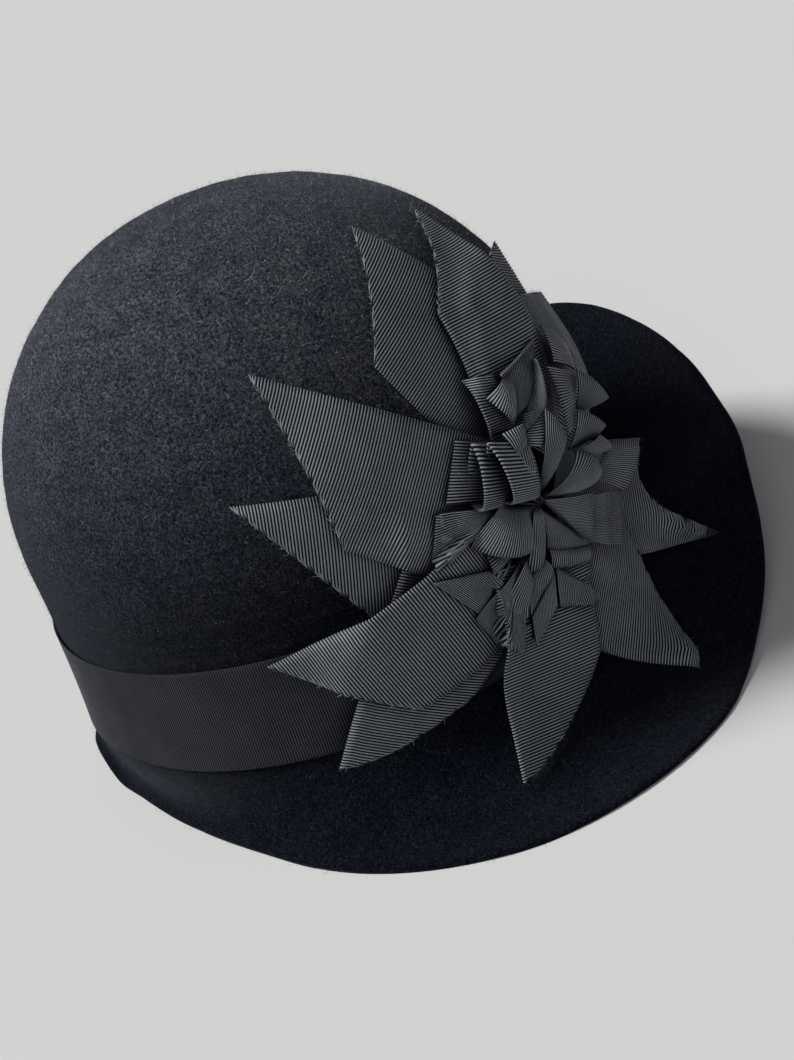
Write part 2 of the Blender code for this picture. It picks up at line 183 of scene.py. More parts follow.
# As in the solids, but for petal_far_up and petal_far_front, which are wider here, and petal_front,
# which is narrower and cut less on the slant
PETALS = (
    # name, bearing, width, shift, reach, cut, leave, tilt, arch
    ("petal_back_under", 165, 1.00, 0.08, 0.92, 0.42, 1.00, 0, 0.0),
    ("petal_low_back", 232, 0.87, -0.46, 0.92, 0.32, 0.60, 4, 0.2),
    ("petal_up_back", 112, 1.00, -0.48, 0.92, 0.28, 1.00, 0, 0.0),
    ("petal_far_up", 59, 0.66, 0.04, 0.84, 0.30, 0.60, 4, 0.2),
    ("petal_far_front", 42, 0.82, -0.05, 0.74, 0.24, 0.55, 6, 0.1),
    ("petal_front", -29, 0.84, -0.02, 0.93, 0.29, 0.30, 16, 0.0),
    ("petal_back", 137, 1.00, 0.16, 0.96, 0.43, 0.80, 3, 0.1),
    ("petal_up", 80, 0.70, -0.10, 1.00, 0.37, 1.00, 0, 0.2),
    ("petal_low_front", -57, 0.95, -0.18, 0.86, 0.34, 0.32, 20, 0.0),
    ("petal_back_low", 194, 0.92, 0.18, 0.93, 0.31, 0.80, 4, 0.3),
    ("petal_low", 252, 0.90, 0.04, 0.86, 0.27, 0.38, 25, 0.2),
)

PETAL_BENDS = {
    # name: in millimetres, how far the tip swings, the clockwise side and the other side bulge, the
    # tip draws in and lifts, the clockwise side curls up, and the cut is hollowed
    "petal_back_under": (0, 0, 0, 0, 0, 0, 0),
    "petal_low_back": (0, 0, 6, 0, 1, 0, -4),
    "petal_up_back": (0, 0, 2, 0, 1, 1, 0),
    "petal_far_up": (4, 10, 0, 0, 0, 1, 0),
    "petal_far_front": (11, 7, 0, 0, 0, 8, 0),
    "petal_front": (0, 4, 0, 0, 2, 1, 15),
    "petal_back": (0, 0, 0, 0, 1, 1, 0),
    "petal_up": (-2, 1, -1, 0, 1, 1, 0),
    "petal_low_front": (0, 4, 7, 4, 2, 4, -4),
    "petal_back_low": (0, -2, 1, 0, 2, 0, 0),
    "petal_low": (-5, 1, 2, 0, 1, 1, -3),
}


# The hat's form

def hat_origin():
    """Where the foot of the crown's axis lies in the frame: straight below the crown's top."""
    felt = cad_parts["felt_body"].data
    top = max((v.co for v in felt.vertices), key=lambda co: co.z)
    return np.array([top.x, top.y, top.z - CROWN_HEIGHT])


ORIGIN = hat_origin()


def crown_share(height):
    """How wide the crown is at heights above its foot, as a share of its width at the foot."""
    low = np.clip(height / WALL_HEIGHT, 0, 1)
    climb = np.clip((height - WALL_HEIGHT) / (CROWN_HEIGHT - WALL_HEIGHT), 0, 1)
    dome = np.maximum(NUDGE**2, 1 - climb**DOME_POWER) ** (1 / DOME_POWER)
    return (1 - WALL_TAPER * (1 - (1 - low) ** 2)) * dome


def crown_points(azimuths, heights):
    """Points on the crown's outside, at azimuths in degrees and heights above its foot."""
    angle = np.radians(azimuths)
    share = crown_share(heights)
    x = CROWN_WIDTH / 2 * share * np.cos(angle)
    y = CROWN_LENGTH / 2 * share * np.sin(angle)
    return np.stack([x, y, heights + 0 * angle], axis=-1)


def onto_crown(places):
    """The nearby points of the crown, its wall carried on downwards, and the normals there."""
    for _ in range(ONTO_CROWN_ROUNDS):
        x, y, z = places.T
        share = crown_share(z)
        slope = (crown_share(z + NUDGE) - crown_share(z - NUDGE)) / (2 * NUDGE)
        square = (2 * x / CROWN_WIDTH) ** 2 + (2 * y / CROWN_LENGTH) ** 2
        gradient = np.stack(
            [
                8 * x / (CROWN_WIDTH * share) ** 2,
                8 * y / (CROWN_LENGTH * share) ** 2,
                -2 * square * slope / share**3,
            ],
            axis=-1,
        )
        miss = (square / share**2 - 1) / np.sum(gradient**2, axis=-1)
        places = places - gradient * miss[:, None]
    return places, gradient / np.linalg.norm(gradient, axis=-1, keepdims=True)


def flower_frame():
    """The flower's middle on the crown, the normal, and the directions to the front and upwards."""
    start = crown_points(np.array([FLOWER_AZIMUTH]), np.array([FLOWER_HEIGHT]))
    places, normals = onto_crown(start)
    place, normal = places[0], normals[0]
    up = np.array([0.0, 0.0, 1.0])
    up -= normal * (up @ normal)
    up /= np.linalg.norm(up)
    return place, normal, np.cross(up, normal), up


FLOWER = flower_frame()


def walk(flat, leave=1.0, tilt=0.0):
    """Where one comes to on the crown, going straight over it from the flower's middle.

    Flat is an array of distances to the front and upwards. Past the distance named leave one goes
    on straight through the air, tilted outwards in degrees. Returns the places and the normals.
    """
    place, normal, front, up = FLOWER
    distance = np.maximum(np.hypot(flat[:, 0], flat[:, 1]), NUDGE)
    heading = (flat[:, :1] * front + flat[:, 1:] * up) / distance[:, None]
    on_crown = np.minimum(distance, leave)
    steps = math.ceil(on_crown.max() / WALK_STEP)
    places = np.tile(place, (len(flat), 1))
    normals = np.tile(normal, (len(flat), 1))
    for _ in range(steps):
        places, normals = onto_crown(places + heading * (on_crown / steps)[:, None])
        heading = heading - normals * np.sum(heading * normals, axis=1, keepdims=True)
        heading /= np.linalg.norm(heading, axis=1, keepdims=True)
    in_air = (distance - on_crown)[:, None]
    angle = math.radians(tilt)
    outwards = heading * math.cos(angle) + normals * math.sin(angle)
    tilted = normals * math.cos(angle) - heading * math.sin(angle)
    flying = in_air > 0
    return places + outwards * in_air, np.where(flying, tilted, normals)


def brim_edge(azimuth):
    """The brim's flare and height at an azimuth, on a smooth closed curve through the sections."""
    table = np.array(BRIM_SECTIONS, dtype=float)
    count = len(table)
    azimuth = (azimuth + 180) % 360 - 180
    first = int(np.searchsorted(table[:, 0], azimuth, side="right")) - 1
    rows = [table[(first + k) % count].copy() for k in (-1, 0, 1, 2)]
    for k, row in enumerate(rows):
        row[0] += 360 * ((first + k - 1) // count)
    before, start, end, after = rows
    span = end[0] - start[0]
    share = (azimuth - start[0]) / span
    slope_in = (end - before) / (end[0] - before[0]) * span
    slope_out = (after - start) / (after[0] - start[0]) * span
    value = (
        start * (2 * share**3 - 3 * share**2 + 1)
        + slope_in * (share**3 - 2 * share**2 + share)
        + end * (3 * share**2 - 2 * share**3)
        + slope_out * (share**3 - share**2)
    )
    lowest = BRIM_DROP - FELT_THICKNESS + REST_PRESS
    height = value[2] * (BRIM_RISE if value[2] > 0 else lowest)
    return value[1] * BRIM_FLARE, max(height, -BRIM_DROP)


def brim_curve(azimuth, shares):
    """Flares and heights of the brim's section at shares of the way from the crown to its edge."""
    flare, height = brim_edge(azimuth)
    lifted = (height + BRIM_DROP) / (BRIM_RISE + BRIM_DROP)
    chord = math.atan2(height, flare)
    bend = math.radians(BRIM_BEND_DOWN + (BRIM_BEND_UP - BRIM_BEND_DOWN) * lifted)
    leave = max(chord - bend, -math.radians(STEEPEST_START))
    arrive = min(chord + bend, math.radians(90))
    pull = BRIM_PULL * math.hypot(flare, height)
    points = np.array(
        [
            (0.0, 0.0),
            (pull * math.cos(leave), pull * math.sin(leave)),
            (flare - pull * math.cos(arrive), height - pull * math.sin(arrive)),
            (flare, height),
        ]
    )
    rest = 1 - shares
    weights = np.stack([rest**3, 3 * rest**2 * shares, 3 * rest * shares**2, shares**3], axis=-1)
    return weights @ points


# Smooth surfaces through a grid of points

def spline_weights(share):
    """Weights of four neighbours at a share of the way between the middle two."""
    return (
        (-(share**3) + 2 * share**2 - share) / 2,
        (3 * share**3 - 5 * share**2 + 2) / 2,
        (-3 * share**3 + 4 * share**2 + share) / 2,
        (share**3 - share**2) / 2,
    )


def surface_at(grid, rows, columns):
    """Points of the smooth surface through a grid, at rows and columns between its own."""
    padded = np.pad(grid, ((1, 1), (1, 1), (0, 0)), mode="reflect", reflect_type="odd")
    i = np.clip(np.floor(rows).astype(int), 0, grid.shape[0] - 2)
    j = np.clip(np.floor(columns).astype(int), 0, grid.shape[1] - 2)
    down = spline_weights(rows - i)
    along = spline_weights(columns - j)
    points = np.zeros(rows.shape + (3,))
    for a in range(4):
        for b in range(4):
            points += (down[a] * along[b])[..., None] * padded[i + a, j + b]
    return points


def surface_normals(grid, rows, columns):
    """Unit normals of that surface."""
    step = GRID_STEP
    down = surface_at(grid, rows + step, columns) - surface_at(grid, rows - step, columns)
    along = surface_at(grid, rows, columns + step) - surface_at(grid, rows, columns - step)
    normals = np.cross(down, along)
    return normals / np.maximum(np.linalg.norm(normals, axis=-1, keepdims=True), NUDGE**2)


# Meshes

def mesh_piece(name, points, faces, looks, attributes=None, smooth=True):
    """A mesh object of the hat.

    Its points are in the hat's own coordinates, its faces run clockwise as seen from outside, and
    its attributes hold one value for each point.
    """
    mesh = bpy.data.meshes.new(name)
    mesh.from_pydata((points + ORIGIN).tolist(), [], faces)
    mesh.flip_normals()
    for key, values in (attributes or {}).items():
        layer = mesh.attributes.new(key, "FLOAT", "POINT")
        layer.data.foreach_set("value", np.asarray(values, dtype=np.float32).ravel())
    if smooth:
        mesh.shade_smooth()
    piece = bpy.data.objects.new(name, mesh)
    bpy.context.scene.collection.objects.link(piece)
    mesh.materials.append(looks)
    return piece


def weld(piece):
    """Joins points that fall on one another, and drops the faces that are left without area."""
    bm = bmesh.new()
    bm.from_mesh(piece.data)
    bmesh.ops.remove_doubles(bm, verts=bm.verts, dist=WELD_DISTANCE)
    bmesh.ops.dissolve_degenerate(bm, edges=bm.edges, dist=WELD_DISTANCE)
    bm.to_mesh(piece.data)
    bm.free()


def grid_quads(rows, columns, first=0, closed=False):
    """Quads of a grid whose points are numbered from first, its columns a closed ring or not."""
    spans = columns if closed else columns - 1
    i, j = np.meshgrid(np.arange(rows - 1), np.arange(spans), indexing="ij")
    k = (j + 1) % columns
    quads = [i * columns + j, i * columns + k, (i + 1) * columns + k, (i + 1) * columns + j]
    return np.stack(quads, axis=-1).reshape(-1, 4) + first


def rim_quads(rows, columns):
    """Quads between the rims of an over grid and the under grid numbered after it."""
    top = np.arange(columns)
    bottom = top + (rows - 1) * columns
    left = np.arange(rows) * columns
    right = left + columns - 1
    quads = []
    for line in (top, bottom[::-1], left[::-1], right):
        a, b = line[:-1], line[1:]
        quads.append(np.stack([b, a, a + rows * columns, b + rows * columns], axis=-1))
    return np.concatenate(quads)


def ribbed_layers(grid, rows, columns, phase):
    """The over and under points, faces and rib heights of a ribbed ribbon over a grid.

    Rows and columns say where its points lie on the grid, and phase counts the ribs.
    """
    middle = surface_at(grid, rows, columns)
    normals = surface_normals(grid, rows, columns)
    rib = np.sin(math.pi * phase) ** 2
    half = (RIBBON_THICKNESS / 2 + RIB_DEPTH * (rib - 0.5))[..., None] * normals
    over = grid_quads(*rows.shape)
    under = grid_quads(*rows.shape, first=rows.size)[:, ::-1]
    faces = [over, under, rim_quads(*rows.shape)]
    return (middle + half).reshape(-1, 3), (middle - half).reshape(-1, 3), faces, rib.ravel()


def ribbon_sheet(name, grid, rows, columns, phase, looks):
    """One closed sheet of ribbed ribbon."""
    over, under, faces, rib = ribbed_layers(grid, rows, columns, phase)
    points = np.concatenate([over, under])
    faces = np.concatenate(faces).tolist()
    # The rib heights set the ribbon's painted shade in grooves and painted light on crests
    piece = mesh_piece(name, points, faces, looks, {"rib": np.tile(rib, 2)})
    weld(piece)
    return piece


# Colours, as linear red, green and blue, or as stops along a ramp

FELT_SHEEN = (0.55, 0.60, 0.70)
FELT_BLOTCHES = (
    (0.30, (0.0062, 0.0068, 0.0092)),
    (0.52, (0.0082, 0.0089, 0.0113)),
    (0.75, (0.0105, 0.0112, 0.0130)),
)
FELT_GRAIN = (
    (0.36, (0.30, 0.31, 0.34)),
    (0.50, (1.0, 1.0, 1.0)),
    (0.66, (2.6, 2.55, 2.5)),
)
FELT_SPECKS = (
    (0.70, (1.0, 1.0, 1.0)),
    (0.76, (5.0, 5.0, 4.8)),
)
# Painted light and shade by height: darker on the brim, paler towards the crown's top
FELT_PAINTED_LIGHT = (
    (0.24, (0.32, 0.36, 0.50)),
    (0.42, (0.42, 0.46, 0.58)),
    (0.62, (1.55, 1.6, 1.7)),
    (0.88, (3.1, 3.15, 3.1)),
)
FIBRE_COLOURS = (
    (0.0, (0.012, 0.013, 0.018)),
    (0.6, (0.030, 0.032, 0.040)),
    (0.9, (0.12, 0.125, 0.135)),
)
THREAD_COLOURS = (
    (0.0, (0.03, 0.032, 0.036)),
    (0.6, (0.14, 0.15, 0.16)),
    (0.95, (0.55, 0.56, 0.57)),
)
RIBBON_SHEEN = (0.80, 0.84, 0.92)
RIBBON_UNEVEN = (
    (0.30, (0.82, 0.83, 0.85)),
    (0.70, (1.12, 1.12, 1.12)),
)
RIBBON_YARNS = (
    (0.30, (0.80, 0.80, 0.80)),
    (0.70, (1.20, 1.20, 1.20)),
)
# Painted shade in the hollows of the folds, from ambient occlusion, and a little painted light on
# open cloth
RIBBON_PAINTED_SHADE = (
    (0.32, (0.02, 0.02, 0.03)),
    (0.66, (0.50, 0.50, 0.51)),
    (0.94, (1.16, 1.16, 1.16)),
)
# Rib colours: grooves carry painted shade and crests painted light
GROOVE_END = 0.34
CREST_START = 0.92
BAND_GROOVE_SHADE = (0.004, 0.005, 0.007)
BAND_CREST_LIGHT = (0.036, 0.038, 0.043)
FLOWER_GROOVE_SHADE = (0.0015, 0.002, 0.0035)
FLOWER_CREST_LIGHT = (0.225, 0.240, 0.262)
FLOOR_GREY = (0.44, 0.44, 0.44)

# Where a mixing node takes its share and its two colours, and where it gives their mixture
MIX_SHARE, MIX_ONE, MIX_OTHER = 0, 6, 7
MIXTURE = 2


# Materials

def shader_of(name, roughness, gloss, sheen, sheen_roughness):
    made = bpy.data.materials.new(name)
    made.use_nodes = True
    shader = made.node_tree.nodes["Principled BSDF"]
    shader.inputs["Roughness"].default_value = roughness
    shader.inputs["Sheen Weight"].default_value = sheen
    shader.inputs["Sheen Roughness"].default_value = sheen_roughness
    shader.inputs["Specular IOR Level"].default_value = gloss
    return made, made.node_tree, shader


def noise_node(tree, size, detail, distortion=0.0):
    """Noise in the object's own coordinates, its grain about one size across, in metres."""
    place = tree.nodes.new("ShaderNodeTexCoord")
    made = tree.nodes.new("ShaderNodeTexNoise")
    made.inputs["Scale"].default_value = 1 / size
    made.inputs["Detail"].default_value = detail
    made.inputs["Distortion"].default_value = distortion
    tree.links.new(place.outputs["Object"], made.inputs["Vector"])
    return made.outputs["Fac"]


def ramp_node(tree, value, stops):
    """The colour that a value has on a ramp of stops, each a place and a colour."""
    made = tree.nodes.new("ShaderNodeValToRGB")
    elements = made.color_ramp.elements
    while len(elements) < len(stops):
        elements.new(0.5)
    for element, (place, colour) in zip(elements, stops):
        element.position = place
        element.color = (*colour, 1.0)
    tree.links.new(value, made.inputs["Fac"])
    return made.outputs["Color"]


def times_node(tree, one, other):
    """Two colours multiplied."""
    made = tree.nodes.new("ShaderNodeMix")
    made.data_type = "RGBA"
    made.blend_type = "MULTIPLY"
    made.inputs[MIX_SHARE].default_value = 1.0
    tree.links.new(one, made.inputs[MIX_ONE])
    tree.links.new(other, made.inputs[MIX_OTHER])
    return made.outputs[MIXTURE]


def bump_node(tree, height, distance, strength, before=None):
    """Normals bent by a height that is one distance deep, after the bump before it, if any."""
    made = tree.nodes.new("ShaderNodeBump")
    made.inputs["Distance"].default_value = distance
    made.inputs["Strength"].default_value = strength
    tree.links.new(height, made.inputs["Height"])
    if before is not None:
        tree.links.new(before, made.inputs["Normal"])
    return made.outputs["Normal"]


def attribute_node(tree, name):
    made = tree.nodes.new("ShaderNodeAttribute")
    made.attribute_name = name
    return made.outputs["Fac"]


def painted_light_upwards(tree, colour):
    """The colour with painted shade on the brim and painted light towards the crown's top, by
    height.
    """
    place = tree.nodes.new("ShaderNodeTexCoord")
    parts = tree.nodes.new("ShaderNodeSeparateXYZ")
    share = tree.nodes.new("ShaderNodeMath")
    share.operation = "DIVIDE"
    share.inputs[1].default_value = CROWN_HEIGHT + BRIM_DROP
    tree.links.new(place.outputs["Object"], parts.inputs[0])
    tree.links.new(parts.outputs["Z"], share.inputs[0])
    # Painted shade low on the hat and painted light high, by height
    return times_node(tree, colour, ramp_node(tree, share.outputs[0], FELT_PAINTED_LIGHT))


def felt_looks():
    """Wool felt: near black, mottled charcoal and navy, with fine pale fibres pressed into it."""
    made, tree, shader = shader_of(
        "felt", roughness=0.95, gloss=0.0, sheen=0.09, sheen_roughness=0.45
    )
    shader.inputs["Sheen Tint"].default_value = (*FELT_SHEEN, 1.0)
    patches = noise_node(tree, size=0.010, detail=6.0, distortion=0.6)
    hairs = noise_node(tree, size=0.0008, detail=6.0, distortion=0.8)
    dots = noise_node(tree, size=0.0010, detail=2.0, distortion=3.0)
    mottled = times_node(
        tree, ramp_node(tree, patches, FELT_BLOTCHES), ramp_node(tree, hairs, FELT_GRAIN)
    )
    mottled = times_node(tree, mottled, ramp_node(tree, dots, FELT_SPECKS))
    # Painted shade on the brim and painted light towards the crown's top
    tree.links.new(painted_light_upwards(tree, mottled), shader.inputs["Base Color"])
    lumps = noise_node(tree, size=0.0030, detail=4.0, distortion=0.5)
    matted = bump_node(tree, lumps, distance=0.0004, strength=0.6)
    fluff = noise_node(tree, size=0.0007, detail=5.0, distortion=1.0)
    nap = bump_node(tree, fluff, distance=0.0004, strength=0.9, before=matted)
    tree.links.new(nap, shader.inputs["Normal"])
    return made


def thread_looks():
    """Frayed ribbon threads, dark grey to nearly white."""
    made, tree, shader = shader_of(
        "ribbon_threads", roughness=0.7, gloss=0.1, sheen=0.1, sheen_roughness=0.5
    )
    colour = ramp_node(tree, attribute_node(tree, "chance"), THREAD_COLOURS)
    tree.links.new(colour, shader.inputs["Base Color"])
    return made


def fibre_looks():
    """Loose wool fibres that stand off the felt, some dark and some pale grey."""
    made, tree, shader = shader_of(
        "felt_fibres", roughness=0.9, gloss=0.0, sheen=0.2, sheen_roughness=0.5
    )
    colour = ramp_node(tree, attribute_node(tree, "chance"), FIBRE_COLOURS)
    # The fibres share the felt's painted shade low and painted light high
    tree.links.new(painted_light_upwards(tree, colour), shader.inputs["Base Color"])
    return made


def ribbon_looks(name, groove_shade, crest_light):
    """Grosgrain, softly uneven: crests painted light, grooves and fold hollows painted shade."""
    made, tree, shader = shader_of(
        name, roughness=0.60, gloss=0.10, sheen=0.06, sheen_roughness=0.4
    )
    shader.inputs["Sheen Tint"].default_value = (*RIBBON_SHEEN, 1.0)
    # Painted shade in the grooves and painted light on the crests, by rib height
    ribs = ((GROOVE_END, groove_shade), (CREST_START, crest_light))
    colour = ramp_node(tree, attribute_node(tree, "rib"), ribs)
    # Ambient occlusion paints shade into the hollows of the folds
    painted_shade = tree.nodes.new("ShaderNodeAmbientOcclusion")
    painted_shade.samples = PAINTED_SHADE_SAMPLES
    painted_shade.inputs["Distance"].default_value = PAINTED_SHADE_REACH
    for value, stops in (
        (noise_node(tree, size=0.010, detail=4.0), RIBBON_UNEVEN),
        (noise_node(tree, size=0.00035, detail=2.0), RIBBON_YARNS),
        (painted_shade.outputs["AO"], RIBBON_PAINTED_SHADE),
    ):
        colour = times_node(tree, colour, ramp_node(tree, value, stops))
    tree.links.new(colour, shader.inputs["Base Color"])
    yarns = noise_node(tree, size=0.0003, detail=2.0)
    weave = bump_node(tree, yarns, distance=0.00008, strength=0.6)
    tree.links.new(weave, shader.inputs["Normal"])
    return made


FELT = felt_looks()
FIBRES = fibre_looks()
THREADS = thread_looks()
BAND_RIBBON = ribbon_looks("band_ribbon", BAND_GROOVE_SHADE, BAND_CREST_LIGHT)
FLOWER_RIBBON = ribbon_looks("flower_ribbon", FLOWER_GROOVE_SHADE, FLOWER_CREST_LIGHT)


# Felt

def felt_profiles():
    """The felt's outer face: rows from the crown's top to the brim's edge, columns round it."""
    azimuths = -180 + 360 * np.arange(FELT_AZIMUTHS) / FELT_AZIMUTHS
    rows = []
    for k in range(1, FELT_ROWS["dome"]):
        turn = math.radians(90 * k / FELT_ROWS["dome"])
        height = WALL_HEIGHT + (CROWN_HEIGHT - WALL_HEIGHT) * math.cos(turn) ** (2 / DOME_POWER)
        rows.append(crown_points(azimuths, height))
    for height in np.linspace(WALL_HEIGHT, 0, FELT_ROWS["wall"]):
        rows.append(crown_points(azimuths, height))
    shares = np.arange(1, FELT_ROWS["brim"] + 1) / FELT_ROWS["brim"]
    curves = np.array([brim_curve(a, shares) for a in azimuths])
    base = crown_points(azimuths, np.zeros(len(azimuths)))
    outward = base / np.linalg.norm(base, axis=1, keepdims=True)
    for k in range(len(shares)):
        row = base + outward * curves[:, k, :1]
        row[:, 2] += curves[:, k, 1]
        rows.append(row)
    return np.array(rows)


def ring_normals(grid):
    """Unit normals of a grid whose columns run round in a ring, pointing out of the hat."""
    down = np.gradient(grid, axis=0)
    along = np.roll(grid, -1, axis=1) - np.roll(grid, 1, axis=1)
    normals = np.cross(down, along)
    normals /= np.linalg.norm(normals, axis=2, keepdims=True)
    return normals if normals[0, 0] @ grid[0, 0] > 0 else -normals


def felt_waves(points):
    """How far the felt stands off its plain form: soft waves and small lumps."""
    waves = [
        sum(height * noise.noise(Vector(p) * density) for height, density in FELT_WAVES)
        for p in points.reshape(-1, 3)
    ]
    return np.array(waves).reshape(points.shape[:2] + (1,))


def felt_body():
    """Crown and brim, one closed shell of felt with a round edge."""
    over = felt_profiles()
    normals = ring_normals(over)
    over = over + normals * felt_waves(over)
    under = over - normals * FELT_THICKNESS
    middle = (over[-1] + under[-1]) / 2
    half = (over[-1] - under[-1]) / 2
    outward = over[-1] - over[-2]
    outward /= np.linalg.norm(outward, axis=1, keepdims=True)
    edge = []
    for k in range(1, FELT_ROWS["edge"]):
        turn = math.pi * k / FELT_ROWS["edge"]
        edge.append(middle + half * math.cos(turn) + outward * FELT_THICKNESS / 2 * math.sin(turn))
    rows = np.concatenate([over, np.array(edge), under[::-1]])
    rows[..., 2] = np.maximum(rows[..., 2], -BRIM_DROP)
    count, around = rows.shape[:2]
    tops = np.array([(0, 0, CROWN_HEIGHT), (0, 0, CROWN_HEIGHT - FELT_THICKNESS)])
    points = np.concatenate([rows.reshape(-1, 3), tops])
    faces = grid_quads(count, around, closed=True).tolist()
    for j in range(around):
        k = (j + 1) % around
        faces.append((count * around, k, j))
        faces.append((count * around + 1, (count - 1) * around + j, (count - 1) * around + k))
    piece = mesh_piece("felt_shell", points, faces, FELT)
    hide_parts("felt_body")
    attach(piece, "root")
    return piece


def leaves(name, roots, tips, across, width, looks, rng):
    """Loose fibres, each one thin leaf from a root to its tip, and none of them below the brim."""
    points = np.stack([roots - across * width / 2, roots + across * width / 2, tips], axis=1)
    points[..., 2] = np.maximum(points[..., 2], -BRIM_DROP)
    faces = np.arange(3 * len(roots)).reshape(-1, 3).tolist()
    chance = np.repeat(rng.random(len(roots)), 3)
    return mesh_piece(name, points.reshape(-1, 3), faces, looks, {"chance": chance}, smooth=False)


def felt_fibres(felt):
    """Loose fibres all over the felt, most of them lying with the nap."""
    rng = np.random.default_rng(FIBRE_SEED)
    mesh = felt.data
    area = np.array([p.area for p in mesh.polygons])
    chosen = rng.choice(len(area), size=FIBRE_COUNT, p=area / area.sum())
    centres = np.array([mesh.polygons[k].center for k in chosen]) - ORIGIN
    normals = np.array([mesh.polygons[k].normal for k in chosen])
    sideways = rng.normal(size=(FIBRE_COUNT, 3))
    sideways -= normals * np.sum(sideways * normals, axis=1, keepdims=True)
    sideways /= np.linalg.norm(sideways, axis=1, keepdims=True)
    across = np.cross(normals, sideways)
    spread = math.sqrt(area.mean()) / 2
    shifts = rng.uniform(-spread, spread, (2, FIBRE_COUNT, 1))
    roots = centres + sideways * shifts[0] + across * shifts[1]
    length = FIBRE_LENGTH * rng.uniform(*FIBRE_SHARES, (FIBRE_COUNT, 1)) ** 2
    lean = rng.uniform(*FIBRE_LEANS, (FIBRE_COUNT, 1))
    tips = roots + (normals * lean + sideways * (FIBRE_SWEEP - lean)) * length
    piece = leaves("felt_fibres", roots, tips, across, FIBRE_WIDTH, FIBRES, rng)
    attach(piece, "root")


# Band

def band_loop():
    """A loop of grosgrain against the crown's wall, its ribs upright."""
    around = math.pi * (CROWN_LENGTH + CROWN_WIDTH) / 2
    count = round(around / BAND_RIB_PITCH) * SAMPLES_PER_RIB
    azimuths = -180 + 360 * np.arange(count) / count
    phase = np.arange(count) / SAMPLES_PER_RIB
    rib = np.sin(math.pi * phase) ** 2
    rows = []
    for share in BAND_SHARES:
        edge = (share - 0.5) * 2
        scallop = RIB_SCALLOP * rib * (edge if abs(edge) == 1 else 0)
        height = BAND_HEIGHT + BAND_WIDTH * share + scallop
        rows.append(crown_points(azimuths, height))
    grid = np.array(rows)
    normals = np.array([onto_crown(row)[1] for row in grid])
    thickness = RIBBON_THICKNESS + RIB_DEPTH * (rib - 0.5)[None, :, None]
    under = grid + normals * GAP * 2
    over = under + normals * thickness
    points = np.concatenate([over.reshape(-1, 3), under.reshape(-1, 3)])
    size = grid.shape[:2]
    total = size[0] * size[1]
    faces = [grid_quads(*size, closed=True)[:, ::-1], grid_quads(*size, first=total, closed=True)]
    j = np.arange(count)
    k = (j + 1) % count
    for row, turned in ((0, False), (size[0] - 1, True)):
        a, b = row * count + j, row * count + k
        quads = np.stack([a, b, b + total, a + total], axis=-1)
        faces.append(quads[:, ::-1] if turned else quads)
    # The rib heights also set the band's painted shade in grooves and painted light on crests
    values = np.tile(rib, size[0] * 2)
    piece = mesh_piece("band", points, np.concatenate(faces).tolist(), BAND_RIBBON, {"rib": values})
    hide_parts("hat_band")
    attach(piece, "root")


# What lies beneath each piece of the flower

def tree_of(piece):
    """An object's faces, in the hat's own coordinates, for feeling how high it stands."""
    mesh = piece.data
    corners = [Vector(np.array(v.co) - ORIGIN) for v in mesh.vertices]
    return BVHTree.FromPolygons(corners, [tuple(p.vertices) for p in mesh.polygons])


def height_of_stack(places, normals, trees):
    """How high the pieces laid so far stand over points of the crown, along their normals."""
    tops = np.zeros(len(places))
    for k, (place, normal) in enumerate(zip(places, normals)):
        start = Vector(place + normal * STACK_LIMIT)
        for tree in trees:
            hit = tree.ray_cast(start, Vector(-normal), STACK_LIMIT)
            if hit[0] is not None:
                tops[k] = max(tops[k], STACK_LIMIT - hit[3])
    return tops


def widened(values):
    """Each value of a grid raised to the largest beside it."""
    padded = np.pad(values, 1, mode="edge")
    rows, columns = values.shape
    shifted = [padded[i : i + rows, j : j + columns] for i in range(3) for j in range(3)]
    return np.max(shifted, axis=0)


def eased(needed, wanted):
    """A smooth sheet of heights that nowhere sinks below what is needed."""
    heights = np.maximum(needed, wanted)
    for _ in range(EASING_ROUNDS):
        padded = np.pad(heights, 1, mode="reflect", reflect_type="odd")
        mean = (padded[:-2, 1:-1] + padded[2:, 1:-1] + padded[1:-1, :-2] + padded[1:-1, 2:]) / 4
        heights = np.maximum(needed, np.maximum(wanted, 0.5 * (heights + mean)))
    return heights


def laid(flat, wanted, trees, leave, tilt):
    """Points over a flat layout of a sheet, carried on the crown and all that lies on it."""
    shape = wanted.shape
    places, normals = walk(flat.reshape(-1, 2), leave, tilt)
    stack = widened(height_of_stack(places, normals, trees).reshape(shape))
    heights = eased(stack + GAP + FACET_ALLOWANCE, stack + wanted)
    return places.reshape(shape + (3,)) + normals.reshape(shape + (3,)) * heights[..., None]


# Petals

# The power that moves a hollowed cut's deepest place off the middle
HOLLOW_SKEW = 0.8


def petal_lengths(reach, cut, side, hollow):
    """How long the strip is at shares of its width, from its clockwise side."""
    hollowed = hollow * np.sin(math.pi * side**HOLLOW_SKEW)
    return PETAL_REACH * reach * (1 - cut * side) - PETAL_ROOT - hollowed


